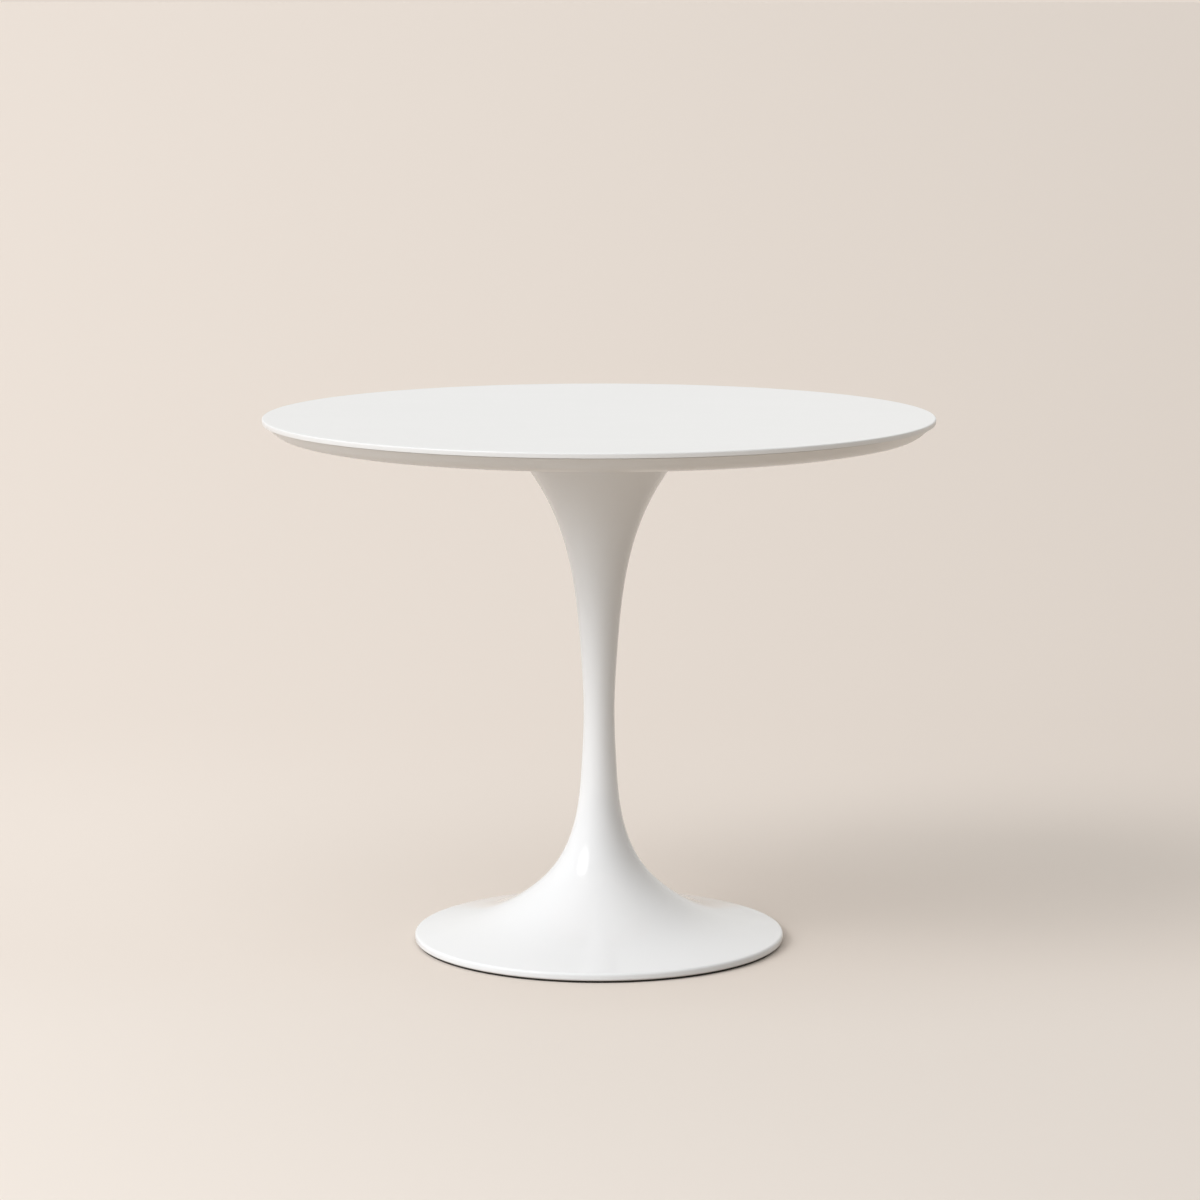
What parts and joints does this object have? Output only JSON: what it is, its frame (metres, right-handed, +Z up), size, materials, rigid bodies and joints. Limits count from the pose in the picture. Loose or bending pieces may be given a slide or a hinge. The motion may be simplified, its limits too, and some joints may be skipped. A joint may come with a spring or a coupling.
{
  "type": "round pedestal table",
  "caption": "Round white pedestal table: lacquered disc top with a bevelled underside on a cast trumpet-shaped stem and round weighted foot, with hidden levelling glides.",
  "frame": {"origin": "centre of the floor ring's underside, on the floor", "axes": "+Z up along the pedestal's axis; the table is round, and +X and +Y lie between the levelling glides"},
  "size_m": [0.9139, 0.914, 0.729],
  "materials": {
    "top_lacquer": "satin",
    "pedestal_coat": "gloss",
    "black_rubber": "matte",
    "black_plate": "satin",
    "black_sheet": "matte",
    "zinc_steel": "satin",
    "ballast_iron": "matte",
    "felt_gasket": "matte",
    "glide_plastic": "matte"
  },
  "bodies": {
    "table": {"tabletop": "top_lacquer", "top_inserts": "zinc_steel", "mounting_plate": "black_plate", "plate_screws": "zinc_steel", "threaded_hub": "black_plate", "tie_rod": "zinc_steel", "wide_washer": "zinc_steel", "lock_washer": "zinc_steel", "tie_nut": "zinc_steel", "rim_gasket": "felt_gasket", "pedestal": "pedestal_coat", "ballast_ring": "ballast_iron", "ballast_washers": "zinc_steel", "ballast_bolts": "zinc_steel", "base_cover": "black_sheet", "cover_screws": "zinc_steel", "floor_ring": "black_rubber"},
    "glide_pad_1": {"glide_pad_1": "glide_plastic"},
    "glide_stud_1": {"glide_stud_1": "zinc_steel"},
    "glide_pad_2": {"glide_pad_2": "glide_plastic"},
    "glide_stud_2": {"glide_stud_2": "zinc_steel"},
    "glide_pad_3": {"glide_pad_3": "glide_plastic"},
    "glide_stud_3": {"glide_stud_3": "zinc_steel"},
    "glide_pad_4": {"glide_pad_4": "glide_plastic"},
    "glide_stud_4": {"glide_stud_4": "zinc_steel"}
  },
  "joints": [
    {"name": "glide_slide_1", "type": "slide", "parent": "table", "child": "glide_pad_1", "axis": [0, 0, 1], "range_m": [-0.004, 0]},
    {"name": "glide_turn_1", "type": "hinge", "parent": "glide_pad_1", "child": "glide_stud_1", "pos_m": [0.15132, 0.15132, 0], "axis": [0, 0, 1], "range_deg": [-1160, 0]},
    {"name": "glide_slide_2", "type": "slide", "parent": "table", "child": "glide_pad_2", "axis": [0, 0, 1], "range_m": [-0.004, 0]},
    {"name": "glide_turn_2", "type": "hinge", "parent": "glide_pad_2", "child": "glide_stud_2", "pos_m": [-0.15132, 0.15132, 0], "axis": [0, 0, 1], "range_deg": [-1160, 0]},
    {"name": "glide_slide_3", "type": "slide", "parent": "table", "child": "glide_pad_3", "axis": [0, 0, 1], "range_m": [-0.004, 0]},
    {"name": "glide_turn_3", "type": "hinge", "parent": "glide_pad_3", "child": "glide_stud_3", "pos_m": [-0.15132, -0.15132, 0], "axis": [0, 0, 1], "range_deg": [-1160, 0]},
    {"name": "glide_slide_4", "type": "slide", "parent": "table", "child": "glide_pad_4", "axis": [0, 0, 1], "range_m": [-0.004, 0]},
    {"name": "glide_turn_4", "type": "hinge", "parent": "glide_pad_4", "child": "glide_stud_4", "pos_m": [0.15132, -0.15132, 0], "axis": [0, 0, 1], "range_deg": [-1160, 0]}
  ],
  "couplings": [
    {"joint": "glide_turn_1", "follows": "glide_slide_1", "rad_per_m": 5026.5},
    {"joint": "glide_turn_2", "follows": "glide_slide_2", "rad_per_m": 5026.5},
    {"joint": "glide_turn_3", "follows": "glide_slide_3", "rad_per_m": 5026.5},
    {"joint": "glide_turn_4", "follows": "glide_slide_4", "rad_per_m": 5026.5}
  ]
}
